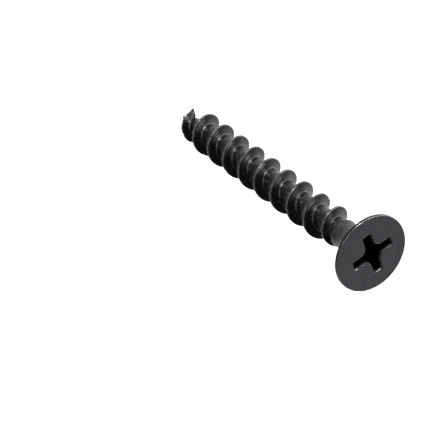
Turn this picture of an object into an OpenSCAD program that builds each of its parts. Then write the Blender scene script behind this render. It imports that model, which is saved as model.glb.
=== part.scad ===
// Wood screw: bugle head with a cross recess, short plain neck, coarse single-start
// right-hand thread and a pinched gimlet point.
// The screw stands upright, +Z up. The origin is the centre of the flat head face,
// the tip points down, and the recess arms lie along X and Y.

/* [Size] */
// Overall length from the head face to the tip
length = 35; // [25:1:60]
// Diameter of the head
head_d = 8.2; // [7.8:0.1:8.6]
// Diameter over the thread crests
thread_d = 4.3; // [4.0:0.1:4.5]
// Diameter of the core between the turns of the thread
core_d = 2.4; // [2.2:0.1:2.6]
// Distance from one turn of the thread to the next
pitch = 3; // [2.6:0.1:3.2]

/* [Head] */
// Height of the rim under the head face
rim_h = 0.36; // [0.3:0.02:0.5]
// Size of the small bevels on the rim's two edges
rim_bevel = 0.05; // [0.02:0.01:0.1]
// Depth of the foot of the bugle curve below the head face
bugle_h = 4; // [3.6:0.1:4.2]
// Diameter of the plain neck under the bugle
neck_d = 2.9; // [2.7:0.1:3.0]
// Length of the neck, down to where the thread starts
neck_h = 1; // [0.8:0.1:1.5]
// Step of the low collar at the neck's lower end
collar_step = 0.05; // [0.02:0.01:0.1]

/* [Cross recess] */
// Distance across two opposite arms at the head face
recess_across = 4.6; // [4.2:0.1:4.8]
// Width of an arm
arm_w = 0.95; // [0.8:0.05:1.1]
// Diameter of the round middle at the head face
middle_d = 2.1; // [1.8:0.1:2.3]
// Depth of the recess
recess_depth = 2.8; // [2.4:0.1:2.9]

/* [Thread] */
// Width of the thread ridge where it meets the core
ridge_base_w = 1; // [0.8:0.1:1.2]
// Width of the flat crest
crest_w = 0.16; // [0.04:0.04:0.2]
// Direction in which the thread passes the level of the head face, in degrees from X
thread_phase = 297; // [0:1:359]
// Straight pieces in one turn of the thread
turn_steps = 36; // [24:4:48]

/* [Point] */
// Height of the tapered point
point_h = 4; // [3.5:0.1:4.5]
// Radius of the blunt tip
tip_r = 0.1; // [0.05:0.05:0.15]
// Reach of the pinched burr from the axis
burr_reach = 1.4; // [1.0:0.1:1.5]
// Height of the pinched burr along the axis
burr_h = 1.9; // [1.6:0.1:2.2]
// Thickness of the pinched burr
burr_t = 0.2; // [0.15:0.05:0.3]
// Direction in which the burr stands out, in degrees from X
burr_angle = 205; // [0:5:355]

/* [Hidden] */
$fn = 96;

steel = [0.13, 0.13, 0.14];
worn_steel = [0.24, 0.24, 0.25];

head_r = head_d / 2;
neck_r = neck_d / 2;
core_r = core_d / 2;
ridge_h = thread_d / 2 - core_r;

// Levels along the axis, measured up from the head face
thread_top_z = -(bugle_h + neck_h);
point_top_z = -(length - point_h);
tip_z = -length;

// Radius of the bugle's arc: upright at the neck, and through the lower edge of the rim
bugle_reach = head_r - rim_bevel - neck_r;
bugle_drop = bugle_h - rim_h;
bugle_r = (bugle_reach ^ 2 + bugle_drop ^ 2) / (2 * bugle_reach);

// Outline of the point from its top to the tip: [share of its height, share of the core radius]
point_taper = [[0, 1], [0.5, 0.6], [0.78, 0.42], [0.96, 0.17]];

// The ridge rises over its first turn and runs out shortly before the tip
ridge_end_z = tip_z + 0.6;
ridge_turns = (thread_top_z - ridge_end_z) / pitch;
run_in_turns = 1;
run_out_turns = 0.75;
ridge_start_angle = thread_phase + 360 * thread_top_z / pitch;

// Half of the ridge's section: [share of half the base width, share of its height]
half_section = [[1, 0], [0.52, 0.16], [crest_w / ridge_base_w, 1]];

module cross_recess() {
    across = recess_across / 2;
    foot = across * 0.48;
    foot_z = -recess_depth * 0.86;
    arm = [[-across, 1], [across, 1], [across, 0], [foot, foot_z], [0, -recess_depth],
           [-foot, foot_z], [-across, 0]];
    for (a = [0, 90])
        rotate([90, 0, a])
            linear_extrude(arm_w, center = true)
                polygon(arm);
    translate([0, 0, foot_z])
        cylinder(h = -foot_z + 1, r1 = middle_d * 0.34, r2 = middle_d / 2 * (1 + 0.32 / -foot_z));
}

// Half of the head's section: a bevelled rim over the trumpet-shaped underside
module head_section() {
    flat_r = head_r - rim_bevel;
    difference() {
        polygon([[0, 0], [flat_r, 0], [head_r, -rim_bevel], [head_r, rim_bevel - rim_h],
                 [flat_r, -rim_h], [flat_r, -bugle_h], [0, -bugle_h]]);
        translate([neck_r + bugle_r, -bugle_h])
            circle(bugle_r);
    }
}

module head() {
    color(steel)
        difference() {
            rotate_extrude()
                head_section();
            cross_recess();
        }
}

// Plain shank with a low collar, which steps down to the core above the thread
module neck() {
    collar_r = neck_r + collar_step;
    color(steel)
        rotate_extrude()
            polygon([[0, -bugle_h], [neck_r, -bugle_h],
                     [neck_r, thread_top_z + neck_h * 0.6],
                     [collar_r, thread_top_z + neck_h * 0.45],
                     [collar_r, thread_top_z + neck_h * 0.25],
                     [core_r, thread_top_z], [0, thread_top_z]]);
}

module core() {
    color(steel)
        translate([0, 0, point_top_z])
            cylinder(h = thread_top_z - point_top_z, r = core_r);
}

// Radius of the screw's body under the thread at a level
function body_r(z) =
    lookup((point_top_z - z) / point_h, [for (p = point_taper) [p[0], p[1] * core_r]]);

// Share of its full height that the ridge has after a number of turns
function ridge_share(turn) =
    let (rise = min(1, turn / run_in_turns),
         fall = min(1, (ridge_turns - turn) / run_out_turns))
    max(0.02, min(1 - (1 - rise) ^ 3, 1 - (1 - fall) ^ 2));

// Section points of the ridge, from its upper foot over the crest to its lower foot
function ridge_section() = concat(
    half_section,
    [for (i = [len(half_section) - 1 : -1 : 0]) [-half_section[i][0], half_section[i][1]]]);

// One section of the ridge, turned and lowered to its place on the helix
function ridge_ring(turn) =
    let (share = ridge_share(turn), angle = ridge_start_angle - 360 * turn,
         level = thread_top_z - pitch * turn)
    [for (p = ridge_section())
        let (z = level + p[0] * share * ridge_base_w / 2,
             r = body_r(z) + p[1] * share * ridge_h)
        [r * cos(angle), r * sin(angle), z]];

// Closed solid through rings of points that lie in order along a path
module skin(rings) {
    m = len(rings[0]);
    last = (len(rings) - 1) * m;
    sides = [for (i = [0 : len(rings) - 2], j = [0 : m - 1])
        let (a = i * m + j, b = i * m + (j + 1) % m)
        each [[a, b, b + m], [a, b + m, a + m]]];
    polyhedron([for (ring = rings) each ring],
               concat([[for (j = [m - 1 : -1 : 0]) j]], sides, [[for (j = [0 : m - 1]) last + j]]));
}

module thread() {
    steps = round(ridge_turns * turn_steps);
    color(worn_steel)
        skin([for (i = [0 : steps]) ridge_ring(i * ridge_turns / steps)]);
}

// Tapered point with the flat burr that the pinching dies leave beside the tip
module point() {
    outline = [for (p = point_taper) [p[1] * core_r, point_top_z - p[0] * point_h]];
    color(steel) {
        rotate_extrude()
            polygon(concat([[0, point_top_z]], outline, [[tip_r, tip_z], [0, tip_z]]));
        rotate([90, 0, burr_angle])
            linear_extrude(burr_t, center = true)
                polygon([[0, tip_z + burr_h], [burr_reach * 0.64, tip_z + burr_h * 0.82],
                         [burr_reach, tip_z + burr_h * 0.33], [0, tip_z]]);
    }
}

head();
neck();
core();
thread();
point();
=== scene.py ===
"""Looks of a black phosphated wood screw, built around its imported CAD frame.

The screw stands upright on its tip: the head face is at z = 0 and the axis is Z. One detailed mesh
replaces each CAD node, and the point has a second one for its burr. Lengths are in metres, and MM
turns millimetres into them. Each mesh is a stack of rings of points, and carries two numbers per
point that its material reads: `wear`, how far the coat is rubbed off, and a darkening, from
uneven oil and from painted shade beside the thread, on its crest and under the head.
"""

import math

import bpy
import numpy as np
from mathutils import Matrix, Vector, noise


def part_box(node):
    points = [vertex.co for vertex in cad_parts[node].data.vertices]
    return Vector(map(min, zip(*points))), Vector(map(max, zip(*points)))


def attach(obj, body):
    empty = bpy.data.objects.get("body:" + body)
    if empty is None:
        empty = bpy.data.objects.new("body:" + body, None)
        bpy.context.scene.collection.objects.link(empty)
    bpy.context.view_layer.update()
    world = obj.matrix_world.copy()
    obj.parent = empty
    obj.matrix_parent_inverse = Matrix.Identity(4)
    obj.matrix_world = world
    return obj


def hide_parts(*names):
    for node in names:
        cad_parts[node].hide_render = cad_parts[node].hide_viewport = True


MM = 0.001
TURN = 2 * math.pi

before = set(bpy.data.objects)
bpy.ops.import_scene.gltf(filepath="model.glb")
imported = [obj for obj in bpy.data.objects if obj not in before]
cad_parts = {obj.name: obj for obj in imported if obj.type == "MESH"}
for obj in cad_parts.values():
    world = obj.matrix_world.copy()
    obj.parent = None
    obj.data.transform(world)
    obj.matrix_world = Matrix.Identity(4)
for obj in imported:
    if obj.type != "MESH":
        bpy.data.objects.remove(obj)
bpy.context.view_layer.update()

# ---------------------------------------------------------------- sizes, from the frame

head_low, head_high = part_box("head")
neck_low, neck_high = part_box("neck")
core_low, core_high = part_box("core")
_, thread_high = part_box("thread")
point_low, point_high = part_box("point")

COLLAR_STEP = 0.05 * MM
HEAD_R = head_high.x
NECK_R = neck_high.x - COLLAR_STEP
CORE_R = core_high.x
THREAD_R = thread_high.x
TOP_Z = head_high.z
BUGLE_Z = head_low.z
THREAD_TOP_Z = neck_low.z
POINT_TOP_Z = point_high.z
TIP_Z = point_low.z

# Sizes that a box can't tell. The phase is the thread's direction at the level of the head face
PITCH = 3 * MM
THREAD_PHASE = math.radians(297)
RIM_H = 0.36 * MM


# ---------------------------------------------------------------- mesh helpers


def smooth_step(x):
    """Eases from 0 at x = 0 to 1 at x = 1, and stays level beyond."""
    x = np.clip(x, 0, 1)
    return x * x * (3 - 2 * x)


def rough(points, size, seed):
    """Smooth noise from -1 to 1 at each point, with features about `size` across."""
    shift = Vector((seed * 7.3, seed * 3.1, seed * 5.7))
    values = [noise.noise(Vector(p) / size + shift) for p in points.reshape(-1, 3)]
    return np.array(values).reshape(points.shape[:-1])


def ring_faces(rows, columns):
    """Quads between neighbouring rings of points, each ring closed on itself."""
    row = np.arange(rows - 1)[:, None] * columns
    here = np.arange(columns)
    there = np.roll(here, -1)
    quads = np.stack([row + here, row + there, row + columns + there, row + columns + here], axis=-1)
    return quads.reshape(-1, 4)


def ring_mesh(name, rings, wear=None, grime_and_shade=None):
    """Closed mesh through rings of points: the strips between them, then a fan over each end."""
    rows, columns = rings.shape[:2]
    points = rings.reshape(-1, 3)
    middles = np.array([rings[0].mean(axis=0), rings[-1].mean(axis=0)])
    first_middle = len(points)
    last_middle = first_middle + 1
    last_row = (rows - 1) * columns
    pairs = [(a, (a + 1) % columns) for a in range(columns)]
    faces = ring_faces(rows, columns).tolist()
    faces += [[first_middle, b, a] for a, b in pairs]
    faces += [[last_middle, last_row + a, last_row + b] for a, b in pairs]
    mesh = bpy.data.meshes.new(name)
    mesh.from_pydata(np.vstack([points, middles]).tolist(), [], faces)
    mesh.shade_smooth()
    for attribute, amount in (("wear", wear), ("grime_and_shade", grime_and_shade)):
        values = np.zeros(len(points) + len(middles), dtype=np.float32)
        if amount is not None:
            values[:len(points)] = amount.ravel()
        mesh.attributes.new(attribute, "FLOAT", "POINT").data.foreach_set("value", values)
    piece = bpy.data.objects.new(name, mesh)
    bpy.context.collection.objects.link(piece)
    return piece


def turned(outline, columns):
    """Rings of a turned shape from its outline, a list of (radius, height)."""
    angle = np.linspace(0, TURN, columns, endpoint=False)
    outline = np.array(outline)
    return np.stack([outline[:, :1] * np.cos(angle), outline[:, :1] * np.sin(angle),
                     np.repeat(outline[:, 1:], columns, axis=1)], axis=-1)


def arc(centre_r, centre_z, radius, start, end, steps):
    """Points (radius, height) on an arc, between two angles in degrees."""
    angle = np.radians(np.linspace(start, end, steps))
    return [(centre_r + radius * math.cos(a), centre_z + radius * math.sin(a)) for a in angle]


def push_out(rings, amount):
    """Moves points away from the axis by an amount each."""
    radius = np.maximum(np.hypot(rings[..., 0], rings[..., 1]), 0.01 * MM)
    out = rings.copy()
    out[..., :2] *= (1 + amount / radius)[..., None]
    return out


def finish_piece(piece, node, slot, *materials):
    """Gives a piece its materials and hides the CAD node it replaces; the slot is not used."""
    for material in materials:
        piece.data.materials.append(material)
    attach(piece, "root")
    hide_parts(node)


# ---------------------------------------------------------------- materials


def new_material(name):
    material = bpy.data.materials.new(name)
    material.use_nodes = True
    tree = material.node_tree
    tree.nodes.clear()
    return material, tree


def add(tree, kind, inputs=None, **settings):
    """Adds a node, with its settings and its input values or links."""
    node = tree.nodes.new(kind)
    for key, value in settings.items():
        setattr(node, key, value)
    for key, value in (inputs or {}).items():
        if isinstance(value, bpy.types.NodeSocket):
            tree.links.new(value, node.inputs[key])
        else:
            node.inputs[key].default_value = value
    return node


def speckle(tree, place, scale, detail, roughness):
    """Noise from 0 to 1, with about `scale` features in a metre."""
    node = add(tree, "ShaderNodeTexNoise",
               {"Vector": place, "Scale": scale, "Detail": detail, "Roughness": roughness})
    return node.outputs["Fac"]


def remap(tree, value, low, high, to_low=0, to_high=1, **settings):
    """Maps the range from `low` to `high` onto the range from `to_low` to `to_high`."""
    node = add(tree, "ShaderNodeMapRange", {"Value": value, "From Min": low, "From Max": high,
                                            "To Min": to_low, "To Max": to_high}, **settings)
    return node.outputs["Result"]


def mix_colours(tree, factor, a, b):
    node = add(tree, "ShaderNodeMix", {"Factor": factor, "A": a, "B": b}, data_type="RGBA")
    return node.outputs[2]


def phosphate(name, dark, pale, worn, roughness, grain, shine=0.5):
    """Black phosphate coat on steel: fine crystal grain, oily mottling, darkening from oil and from
    painted shade, and rubbed edges.

    The coat is mottled from `dark` to `pale`, and `worn` is the steel under it. `grain` is the
    strength of the bumps, and `shine` the coat's specular level."""
    material, tree = new_material(name)
    place = add(tree, "ShaderNodeTexCoord").outputs["Object"]
    wear = add(tree, "ShaderNodeAttribute", attribute_name="wear").outputs["Fac"]
    grime_and_shade = add(tree, "ShaderNodeAttribute", attribute_name="grime_and_shade").outputs["Fac"]
    mottle = speckle(tree, place, scale=1300, detail=5, roughness=0.65)
    crystal = speckle(tree, place, scale=14000, detail=3, roughness=0.7)
    scuff = speckle(tree, place, scale=4500, detail=4, roughness=0.65)
    coat = mix_colours(tree, remap(tree, mottle, 0.35, 0.65), (*dark, 1), (*pale, 1))
    # The coat darkens towards black from real oil and soot in places, and from painted shade in
    # corners, on the crest and under the head
    darkened = mix_colours(tree, grime_and_shade, coat, (0.002, 0.002, 0.002, 1))
    # Where the coat is rubbed, scuffs decide how much bare steel shows
    rubbed = remap(tree, scuff, 0.36, 0.56, to_low=0.5)
    bare = add(tree, "ShaderNodeMath", {0: wear, 1: rubbed}, operation="MULTIPLY",
               use_clamp=True).outputs[0]
    colour = mix_colours(tree, bare, darkened, (*worn, 1))
    # The bare steel is a little smoother than the coat
    dull = remap(tree, scuff, 0.35, 0.65, to_low=roughness - 0.08, to_high=roughness + 0.08)
    polished = add(tree, "ShaderNodeMath", {0: bare, 1: -0.1, 2: dull},
                   operation="MULTIPLY_ADD").outputs[0]
    fine = add(tree, "ShaderNodeBump", {
        "Strength": grain, "Distance": 0.006 * MM, "Height": crystal})
    coarse = add(tree, "ShaderNodeBump", {
        "Strength": grain, "Distance": 0.03 * MM, "Height": scuff, "Normal": fine.outputs["Normal"]})
    shader = add(tree, "ShaderNodeBsdfPrincipled", {
        "Base Color": colour, "Roughness": polished, "Metallic": bare,
        "Normal": coarse.outputs["Normal"], "IOR": 1.6, "Specular IOR Level": shine})
    add(tree, "ShaderNodeOutputMaterial", {"Surface": shader.outputs["BSDF"]})
    return material


HEAD_COAT = phosphate("head_phosphate", dark=(0.079, 0.074, 0.097), pale=(0.092, 0.090, 0.094),
                      worn=(0.7, 0.7, 0.7), roughness=0.35, grain=0.15)
# Near-black coat with little shine: painted shade for the inside of the recess and the side of the rim
SHADE_BLACK = phosphate("painted_shade_black", dark=(0.006, 0.006, 0.006), pale=(0.016, 0.015, 0.015),
                 worn=(0.6, 0.6, 0.6), roughness=0.4, grain=0.3, shine=0.1)
THREAD_COAT = phosphate("thread_phosphate", dark=(0.003, 0.0025, 0.003), pale=(0.013, 0.012, 0.012),
                        worn=(0.6, 0.6, 0.6), roughness=0.24, grain=0.25)


# ---------------------------------------------------------------- head with its cross recess

HEAD_COLUMNS = 400
RIM_EDGE_R = 0.05 * MM

# The recess at the head face: reach and half width of an arm, radius of the arm's corners and
# radius of the wide corners between the arms. It was punched a little off the head's centre
RECESS_ARM = 2.3 * MM
RECESS_HALF_W = 0.475 * MM
RECESS_END_R = 0.06 * MM
RECESS_CORNER = 0.865 * MM
RECESS_DEPTH = 2.8 * MM
RECESS_CENTRE = np.array([-0.13, 0.1]) * MM

# The mouth of the recess starts this far outside it. From there its section runs inwards over a
# round edge and down a worn chamfer: (distance outside the recess, depth)
MOUTH_REACH = 0.1 * MM
MOUTH_EDGE = np.array([(0.082, 0.006), (0.062, 0.022)]) * MM
MOUTH_CHAMFER = np.array([(0.05, 0.044), (0.022, 0.1), (0, 0.17)]) * MM

# The bugle and the neck are both darkened this much where they meet: painted shade under the head
NECK_SHADE = 0.82

# The foot of the bugle and the top of the neck run this far past the level where they meet, and
# there they lie this far under the other's surface
SEAM_OVERLAP = 0.05 * MM
SEAM_STEP = 0.002 * MM


def cross_outline(arm, half_w, corner):
    """Points round a cross, evenly spaced: straight arms with rounded ends and wide inner corners.

    It starts at the diagonal before the arm along X, and runs round anticlockwise."""
    inner_angle = np.radians(np.linspace(225, 270, 24))
    inner = half_w + corner + corner * np.stack([np.cos(inner_angle), np.sin(inner_angle)], axis=1)
    end_angle = np.radians(np.linspace(90, 0, 8))
    end = np.stack([arm - RECESS_END_R + RECESS_END_R * np.cos(end_angle),
                    half_w - RECESS_END_R + RECESS_END_R * np.sin(end_angle)], axis=1)
    upper = np.vstack([inner, end, [[arm, 0]]])
    lower = upper[:-1][::-1] * [1, -1]
    quarter = np.vstack([upper, lower])[::-1]
    path = []
    for k in range(4):
        c = math.cos(k * TURN / 4)
        s = math.sin(k * TURN / 4)
        path.append(quarter[:-1] @ np.array([[c, s], [-s, c]]))
    path = np.vstack(path + [path[0][:1]])
    along = np.concatenate([[0], np.cumsum(np.linalg.norm(np.diff(path, axis=0), axis=1))])
    at = np.linspace(0, along[-1], HEAD_COLUMNS, endpoint=False)
    cross = np.stack([np.interp(at, along, path[:, 0]), np.interp(at, along, path[:, 1])], axis=1)
    return cross + RECESS_CENTRE


def level_ring(outline, z):
    """Ring of the head: a flat outline at a height."""
    return np.column_stack([outline, np.full(HEAD_COLUMNS, z)])


def mouth_ring(out, depth):
    """Ring round the recess, a little outside it, at a depth below the head face."""
    outline = cross_outline(RECESS_ARM + out, RECESS_HALF_W + out, RECESS_CORNER - out)
    return level_ring(outline, TOP_Z - depth)


def recess_rings():
    """Rings down the tapering walls of the recess, and in over its pointed bottom."""
    top_depth = MOUTH_CHAMFER[-1, 1]
    foot_depth = RECESS_DEPTH * 0.86
    rings = []
    for share in np.linspace(0, 1, 16)[1:]:
        outline = cross_outline(RECESS_ARM * (1 - 0.52 * share ** 1.7),
                                RECESS_HALF_W * (1 - 0.12 * share),
                                RECESS_CORNER * (1 - 0.45 * share))
        rings.append(level_ring(outline, TOP_Z - (top_depth + share * (foot_depth - top_depth))))
    foot = rings[-1][:, :2]
    for share in (0.35, 0.7, 0.9):
        depth = foot_depth + share * (RECESS_DEPTH - foot_depth)
        rings.append(level_ring(foot + (RECESS_CENTRE - foot) * share, TOP_Z - depth))
    return rings


def head_zones():
    """Rings of the head by zone, from the bugle's foot over the rim and the face into the recess."""
    reach = HEAD_R - RIM_EDGE_R - NECK_R
    drop = TOP_Z - BUGLE_Z - RIM_H
    bugle_r = (reach ** 2 + drop ** 2) / (2 * reach)
    bugle_end = math.degrees(math.atan2(drop, reach - bugle_r))
    foot = [(NECK_R - SEAM_STEP, BUGLE_Z - SEAM_OVERLAP)]
    bugle = foot + arc(NECK_R + bugle_r, BUGLE_Z, bugle_r, 180, bugle_end, 60)[:-1]
    lower_edge = arc(HEAD_R - RIM_EDGE_R, TOP_Z - RIM_H + RIM_EDGE_R, RIM_EDGE_R, -80, 0, 8)
    upper_edge = arc(HEAD_R - RIM_EDGE_R, TOP_Z - RIM_EDGE_R, RIM_EDGE_R, 0, 90, 10)
    outlines = {"bugle": bugle, "rim_foot": lower_edge[:2], "rim_side": lower_edge[2:] + upper_edge[:1],
                "rim_edge": upper_edge[1:8], "rim_top": upper_edge[8:]}
    # The columns start at the diagonal between two arms, as the outline of the cross does
    angle = -TURN / 8 + np.linspace(0, TURN, HEAD_COLUMNS, endpoint=False)
    circle = np.stack([np.cos(angle), np.sin(angle)], axis=1)
    zones = {name: [level_ring(r * circle, z) for r, z in outline]
             for name, outline in outlines.items()}
    rim = zones["rim_top"][-1]
    mouth = mouth_ring(MOUTH_REACH, 0)
    zones["face"] = [rim * (1 - share) + mouth * share for share in np.linspace(0, 1, 24)[1:]]
    zones["face"] += [mouth_ring(out, depth) for out, depth in MOUTH_EDGE]
    zones["chamfer"] = [mouth_ring(out, depth) for out, depth in MOUTH_CHAMFER]
    zones["recess"] = recess_rings()
    return zones


def blotches(rings):
    """Uneven oil and soot on the neck and on the bugle."""
    return 0.16 * rough(rings, 0.9 * MM, 51) + 0.14 * rough(rings, 0.25 * MM, 52)


def make_head():
    zones = head_zones()
    rings = np.array([ring for zone in zones.values() for ring in zone])
    rows = {}
    for name, zone in zones.items():
        first = sum(len(zones[earlier]) for earlier in rows)
        rows[name] = slice(first, first + len(zone))
    bugle = rings[rows["bugle"]]
    rim_edge = rings[rows["rim_edge"]]
    face = rings[rows["face"]]
    chamfer = rings[rows["chamfer"]]
    # The edge of the face is rubbed, and so is the mouth of the recess, most at the arms' ends
    wear = np.zeros(rings.shape[:2])
    wear[rows["rim_edge"]] = smooth_step(0.8 + 0.9 * rough(rim_edge, 0.5 * MM, 3))
    from_centre = np.linalg.norm(chamfer[..., :2] - RECESS_CENTRE, axis=-1)
    at_arm_end = 0.15 + 0.85 * smooth_step((from_centre - 1.75 * MM) / (0.45 * MM))
    wear[rows["chamfer"]] = smooth_step(0.45 + 1.6 * rough(chamfer, 0.3 * MM, 6)) * at_arm_end
    # The face is dull and oily in places, and the bugle darkens towards its foot with painted shade
    # under the head, blotched unevenly
    grime_and_shade = np.zeros(rings.shape[:2])
    grime_and_shade[rows["face"]] = 0.12 * smooth_step(0.5 + 0.9 * rough(face, 1.4 * MM, 53))
    below_rim = (TOP_Z - RIM_H - bugle[..., 2]) / (TOP_Z - RIM_H - BUGLE_Z)
    grime_and_shade[rows["bugle"]] = 0.5 + (NECK_SHADE - 0.5) * below_rim + blotches(bugle)
    piece = ring_mesh("bugle_head", rings, wear, grime_and_shade)
    finish_piece(piece, "head", "phosphated_steel", HEAD_COAT, SHADE_BLACK)
    # The side of the rim and the inside of the recess get the near-black material: painted shade. Each
    # strip of faces takes its number from the ring before it, and the two fans come last
    darkened = np.zeros(rings.shape[:2], dtype=np.int32)
    darkened[rows["rim_side"]] = 1
    darkened[rows["recess"]] = 1
    material_index = np.vstack([darkened[:-1], darkened[:1], darkened[-1:]])
    piece.data.polygons.foreach_set("material_index", material_index.ravel())


# ---------------------------------------------------------------- neck and core

# Half the width of the thread ridge where it meets the core
RIDGE_HALF_W = 0.5 * MM


def make_neck():
    """Plain shank that swells a little to a collar, whose round shoulder runs down to the core."""
    collar_r = NECK_R + COLLAR_STEP
    foot_r = CORE_R - 0.02 * MM
    shoulder_z = BUGLE_Z - 0.62 * MM
    foot_z = THREAD_TOP_Z - 0.3 * MM
    outline = [(NECK_R - SEAM_STEP, BUGLE_Z + SEAM_OVERLAP)]
    for share in np.linspace(0, 1, 20):
        outline.append((NECK_R + (collar_r - NECK_R) * smooth_step(share),
                        BUGLE_Z + (shoulder_z - BUGLE_Z) * share))
    for share in np.linspace(0.04, 1, 24):
        outline.append((foot_r + (collar_r - foot_r) * (1 - smooth_step(share) ** 1.1),
                        shoulder_z + (foot_z - shoulder_z) * share))
    rings = turned(outline[::-1], 180)
    # The surface is a little uneven, but not at the seam with the bugle
    below_seam = smooth_step((BUGLE_Z - rings[..., 2]) / (0.3 * MM))
    rings = push_out(rings, 0.008 * MM * below_seam * rough(rings, 0.5 * MM, 11))
    wear = 0.12 * smooth_step(rough(rings, 0.4 * MM, 12) * 2)
    # The neck is darkened with painted shade, more towards the thread, and blotched unevenly
    below_bugle = np.clip((BUGLE_Z - rings[..., 2]) / (BUGLE_Z - foot_z), 0, 1)
    grime_and_shade = NECK_SHADE + (0.95 - NECK_SHADE) * below_bugle + blotches(rings)
    piece = ring_mesh("plain_neck", rings, wear, grime_and_shade)
    finish_piece(piece, "neck", "phosphated_steel", HEAD_COAT)


def unroll_thread(rings):
    """Where each point lies on the unrolled thread: turns along it, and share of a pitch across it.

    The share is 0, or 1, in the middle of the ridge."""
    x, y, z = np.moveaxis(rings, -1, 0)
    angle = np.arctan2(y, x)
    turn = z / PITCH - (angle - THREAD_PHASE) / TURN
    return np.floor(turn) + angle / TURN, turn - np.floor(turn)


def rolling_marks(rings):
    """Uneven root between the turns: streaks that run along the helix, dents and flat spots."""
    along, across = unroll_thread(rings)
    streaks = rough(np.stack([across * 13, along * 5, np.full_like(across, 0.5)], axis=-1), 1, 21)
    fade = smooth_step((0.5 - np.abs(across - 0.5)) / 0.12)
    dents = rough(rings, 0.42 * MM, 22)
    return fade * (0.016 * MM * streaks + 0.011 * MM * dents)


def distance_to_ridge(rings):
    """Distance along the axis from each point to the foot of the thread ridge."""
    _, across = unroll_thread(rings)
    return (0.5 - np.abs(across - 0.5)) * PITCH - RIDGE_HALF_W


def make_core():
    heights = np.linspace(core_low.z, core_high.z, 420)
    rings = turned([(CORE_R, z) for z in heights], 144)
    rings = push_out(rings, rolling_marks(rings) - 0.012 * MM)
    # Painted shade darkens the corner beside the ridge
    grime_and_shade = np.exp(-(distance_to_ridge(rings) / (0.13 * MM)) ** 2)
    wear = 0.15 * smooth_step(rough(rings, 0.3 * MM, 23) * 2.2 - 0.5) * (1 - grime_and_shade)
    piece = ring_mesh("thread_core", rings, wear, grime_and_shade)
    finish_piece(piece, "core", "phosphated_steel", THREAD_COAT)


# ---------------------------------------------------------------- point and its burr

BURR_ANGLE = math.radians(205)
BURR_T = 0.17 * MM

# Corners of the burr: (distance from the axis, height above the tip), and a place well inside them
BURR_CORNERS = np.array([(-0.1, 0), (1.44, 0.62), (0.9, 1.55), (0.1, 1.9)]) * MM
BURR_MIDDLE = np.array([0.5, 0.95]) * MM


def body_radius(z):
    """Radius of the screw's body under the thread at a height."""
    share = (POINT_TOP_Z - z) / (POINT_TOP_Z - TIP_Z)
    return CORE_R * np.interp(share, [0, 0.5, 0.78, 0.96, 1], [1, 0.6, 0.42, 0.17, 0.08])


def make_point():
    heights = np.linspace(TIP_Z, POINT_TOP_Z, 120)
    rings = turned([(body_radius(z), z) for z in heights], 120)
    rings = push_out(rings, 0.6 * rolling_marks(rings))
    # Seams where the two pinching dies met, on the burr's side and opposite it
    angle = np.arctan2(rings[..., 1], rings[..., 0])
    from_seam = np.abs(np.mod(angle - BURR_ANGLE + TURN / 4, TURN / 2) - TURN / 4)
    share = (POINT_TOP_Z - rings[..., 2]) / (POINT_TOP_Z - TIP_Z)
    radius = np.hypot(rings[..., 0], rings[..., 1])
    seam = np.exp(-(from_seam * radius / (0.05 * MM)) ** 2) * smooth_step((share - 0.15) / 0.3)
    rings = push_out(rings, 0.05 * MM * seam)
    piece = ring_mesh("gimlet_point", rings, 0.3 * seam)
    finish_piece(piece, "point", "phosphated_steel", THREAD_COAT)


def make_burr():
    """Flat flash that the pinching dies leave beside the tip: a thin plate with ragged edges."""
    sides = []
    for a, b in zip(BURR_CORNERS, np.roll(BURR_CORNERS, -1, axis=0)):
        share = np.linspace(0, 1, 20, endpoint=False)[:, None]
        sides.append(a * (1 - share) + b * share)
    edge = np.vstack(sides)
    ragged = rough(np.column_stack([edge, np.zeros(len(edge))]), 0.16 * MM, 31)
    rings = []
    # Rings run from the middle of one face over the edge to the middle of the other face
    for t in np.linspace(0, math.pi, 31):
        spread = math.sin(t) ** 0.35 * (0.97 + 0.05 * ragged)
        flat = BURR_MIDDLE + (edge - BURR_MIDDLE) * spread[:, None]
        off = BURR_T / 2 * math.copysign(min(1, abs(math.cos(t)) * 2.6), math.cos(t))
        rings.append(np.column_stack([flat, np.full(len(flat), off)]))
    rings = np.array(rings)
    # The plate is lumpy, thins outwards and bends a little, before it is turned to its direction
    lumps = 0.048 * MM * rough(rings, 0.22 * MM, 32)
    outwards = rings[..., 0] / (1.3 * MM)
    off = rings[..., 2] * (1.15 - 0.45 * outwards) + lumps + 0.1 * MM * outwards ** 2
    r = rings[..., 0]
    c = math.cos(BURR_ANGLE)
    s = math.sin(BURR_ANGLE)
    placed = np.stack([r * c - off * s, r * s + off * c, rings[..., 1] + TIP_Z], axis=-1)
    wear = 0.12 * smooth_step(rough(rings, 0.15 * MM, 33) * 2)
    piece = ring_mesh("pinched_burr", placed, wear)
    finish_piece(piece, "point", "phosphated_steel", THREAD_COAT)


# ---------------------------------------------------------------- thread

STEPS_IN_TURN = 170
RIDGE_TOP_Z = TOP_Z - 4.57 * MM
RIDGE_END_Z = TIP_Z + 0.6 * MM

# Turns over which the ridge rises to its full height at the top, and falls again at the tip
RUN_IN = 1
RUN_OUT = 0.75

# Half the width of the flat crest, as a share of half the width of the ridge
CREST = 0.08 * MM / RIDGE_HALF_W


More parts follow.
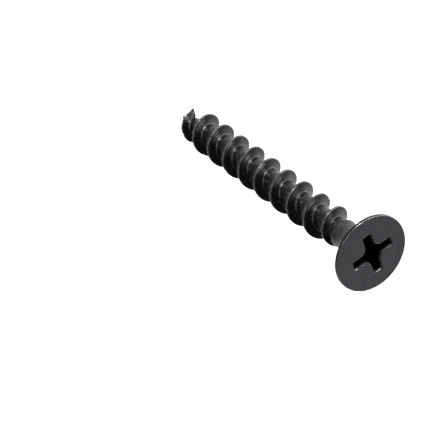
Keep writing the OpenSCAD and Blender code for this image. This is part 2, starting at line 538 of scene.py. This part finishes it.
def ridge_section():
    """Section of the thread ridge: (offset along the axis, height), from its lower foot to its upper.

    Offsets are shares of half the ridge's width, and heights are shares of its height."""
    round_w, round_h = 0.05, 0.045
    fillet_w, fillet_h = 0.7, 0.12
    # Foot sunk just below the core, a hollow fillet, a straight flank, a round edge and the flat crest
    half = [(1.05, -0.06), (1, 0), (0.92, 0.02), (0.84, 0.04), (0.79, 0.06), (0.74, 0.09),
            (fillet_w, fillet_h)]
    half += [(fillet_w + (CREST + round_w - fillet_w) * t, fillet_h + (1 - round_h - fillet_h) * t)
             for t in np.linspace(0.06, 1, 13)]
    half += [(CREST + round_w * math.cos(t), 1 - round_h * (1 - math.sin(t)))
             for t in np.radians([20, 45, 70, 90])]
    half += [(CREST * 0.5, 1), (0, 1)]
    lower = [(-x, y) for x, y in half]
    return np.array(lower + half[:-1][::-1])


def make_thread():
    turns = (RIDGE_TOP_Z - RIDGE_END_Z) / PITCH
    turn = np.linspace(0, turns, int(turns * STEPS_IN_TURN) + 1)
    rise = np.clip(turn / RUN_IN, 0, 1)
    fall = np.clip((turns - turn) / RUN_OUT, 0, 1)
    share = np.maximum(0.02, np.minimum(1 - (1 - rise) ** 3, 1 - (1 - fall) ** 2))
    angle = THREAD_PHASE + TURN * RIDGE_TOP_Z / PITCH - TURN * turn
    level = RIDGE_TOP_Z - PITCH * turn
    # The crest wanders a little, and is nicked here and there
    path = np.stack([THREAD_R * np.cos(angle), THREAD_R * np.sin(angle), level], axis=-1)
    nick = smooth_step((rough(path, 0.5 * MM, 41) - 0.32) / 0.3)
    height = share * (THREAD_R - CORE_R) * (1 - 0.012 * (1 + rough(path, 1.3 * MM, 42)) - 0.07 * nick)
    x, h = ridge_section().T
    z = level[:, None] + x * share[:, None] * RIDGE_HALF_W
    r = body_radius(z) + h * height[:, None]
    rings = np.stack([r * np.cos(angle)[:, None], r * np.sin(angle)[:, None], z], axis=-1)
    # Flanks are uneven: dents, and faint ridges that run along the turn
    dents = rough(rings, 0.45 * MM, 43)
    unrolled = np.broadcast_arrays(h * 7, turn[:, None] * 4, np.sign(x))
    streaks = rough(np.stack(unrolled, axis=-1), 1, 44)
    flank = np.sin(np.clip(h, 0, 1) * math.pi) ** 0.5 * np.sign(x)
    rings[..., 2] += flank * share[:, None] * (0.012 * MM * dents + 0.018 * MM * streaks)
    # The edges of the crest are rubbed bright and the root a little, and the flat crest is darkened
    # with painted shade
    edge = np.exp(-((np.abs(x) - CREST - 0.03) / 0.045) ** 2) * (h > 0.9)
    root = np.exp(-((h - 0.03) / 0.04) ** 2)
    patchy = smooth_step(0.6 + 0.8 * rough(rings, 0.7 * MM, 5))
    scraped = 0.15 * smooth_step(rough(rings, 0.25 * MM, 45) * 2.2 - 0.6)
    wear = np.clip((edge + 0.25 * root) * (0.1 + 0.9 * patchy) + scraped, 0, 1)
    # Painted shade on the flat crest
    on_crest = (h > 0.99) & (np.abs(x) < CREST)
    grime_and_shade = np.broadcast_to(on_crest.astype(float), z.shape)
    piece = ring_mesh("helical_thread", rings, wear, grime_and_shade)
    finish_piece(piece, "thread", "thread_steel", THREAD_COAT)


# ---------------------------------------------------------------- stage, light and camera

MIDDLE = Vector((0, 0, (TOP_Z + TIP_Z) / 2))
FLOOR_HALF = 1.5
LAMP_DISTANCE = 0.4

# Direction from the screw to the dark front of the tent round it
DARK_SIDE = (0.439, -0.554, 0.707)


def make_stage():
    h = FLOOR_HALF
    mesh = bpy.data.meshes.new("floor")
    mesh.from_pydata([(-h, -h, TIP_Z), (h, -h, TIP_Z), (h, h, TIP_Z), (-h, h, TIP_Z)], [],
                     [(0, 1, 2, 3)])
    floor = bpy.data.objects.new("floor", mesh)
    bpy.context.collection.objects.link(floor)
    material, tree = new_material("white_floor")
    shader = add(tree, "ShaderNodeBsdfPrincipled", {
        "Base Color": (0.9, 0.9, 0.9, 1), "Roughness": 0.9,
        "Emission Color": (1, 1, 1, 1), "Emission Strength": 1})
    add(tree, "ShaderNodeOutputMaterial", {"Surface": shader.outputs["BSDF"]})
    mesh.materials.append(material)
    # The floor is a white backdrop: lamps shine past it, and it isn't mirrored in the screw
    floor.visible_shadow = False
    floor.visible_diffuse = False
    floor.visible_glossy = False


def soft_box(name, direction, size, radiance):
    """Square lamp that faces the screw from a direction."""
    away = Vector(direction).normalized()
    lamp = bpy.data.lights.new(name, "AREA")
    lamp.size = size
    lamp.energy = radiance * math.pi * size ** 2
    thing = bpy.data.objects.new(name, lamp)
    bpy.context.collection.objects.link(thing)
    thing.matrix_world = (Matrix.Translation(MIDDLE + away * LAMP_DISTANCE)
                          @ away.to_track_quat("Z", "Y").to_matrix().to_4x4())


def make_tent():
    """White tent round the screw, bright at the back and dark at the front."""
    world = bpy.data.worlds.new("studio")
    bpy.context.scene.world = world
    world.use_nodes = True
    tree = world.node_tree
    tree.nodes.clear()
    direction = add(tree, "ShaderNodeTexCoord").outputs["Generated"]
    facing = add(tree, "ShaderNodeVectorMath", {0: direction, 1: DARK_SIDE}, operation="DOT_PRODUCT")
    brightness = remap(tree, facing.outputs["Value"], -0.8, 0.2, to_low=1.02, to_high=0.04,
                       interpolation_type="SMOOTHSTEP")
    around = add(tree, "ShaderNodeBackground", {"Color": (1, 1, 1, 1), "Strength": brightness})
    # Seen directly, it is plain white like the floor
    seen = add(tree, "ShaderNodeBackground", {"Color": (1, 1, 1, 1), "Strength": 1})
    directly = add(tree, "ShaderNodeLightPath").outputs["Is Camera Ray"]
    mix = add(tree, "ShaderNodeMixShader", {0: directly, 1: around.outputs[0], 2: seen.outputs[0]})
    add(tree, "ShaderNodeOutputWorld", {"Surface": mix.outputs[0]})


def make_lamps():
    soft_box("front", (-0.31, -0.93, -0.12), size=0.13, radiance=20)
    soft_box("low", (-0.26, -0.95, 0.12), size=0.08, radiance=14)
    soft_box("above", (-0.63, -0.21, 0.75), size=0.26, radiance=3.2)
    soft_box("right", (0.585, -0.80, -0.16), size=0.26, radiance=1.8)
    soft_box("back", (-0.11, 0.99, 0.10), size=0.26, radiance=2.8)


def make_camera():
    """Looks down on the head from the front right, rolled so that the tip points up and left."""
    camera = bpy.data.cameras.new("camera")
    camera.lens = 167.8
    camera.sensor_width = 36
    camera.dof.use_dof = False
    camera.clip_start = 0.01
    camera.clip_end = 10
    thing = bpy.data.objects.new("camera", camera)
    bpy.context.collection.objects.link(thing)
    place = Vector((60.13, -128.73, 133.67)) * MM
    azimuth = math.radians(22.46)
    elevation = math.radians(47.48)
    roll = math.radians(-128.07)
    turn = (Matrix.Rotation(azimuth, 4, "Z") @ Matrix.Rotation(math.pi / 2 - elevation, 4, "X")
            @ Matrix.Rotation(-roll, 4, "Z"))
    thing.matrix_world = Matrix.Translation(place) @ turn
    bpy.context.scene.camera = thing


bpy.context.scene.view_settings.view_transform = "Standard"
make_camera()
make_tent()
make_lamps()
make_stage()
make_head()
make_neck()
make_core()
make_point()
make_burr()
make_thread()
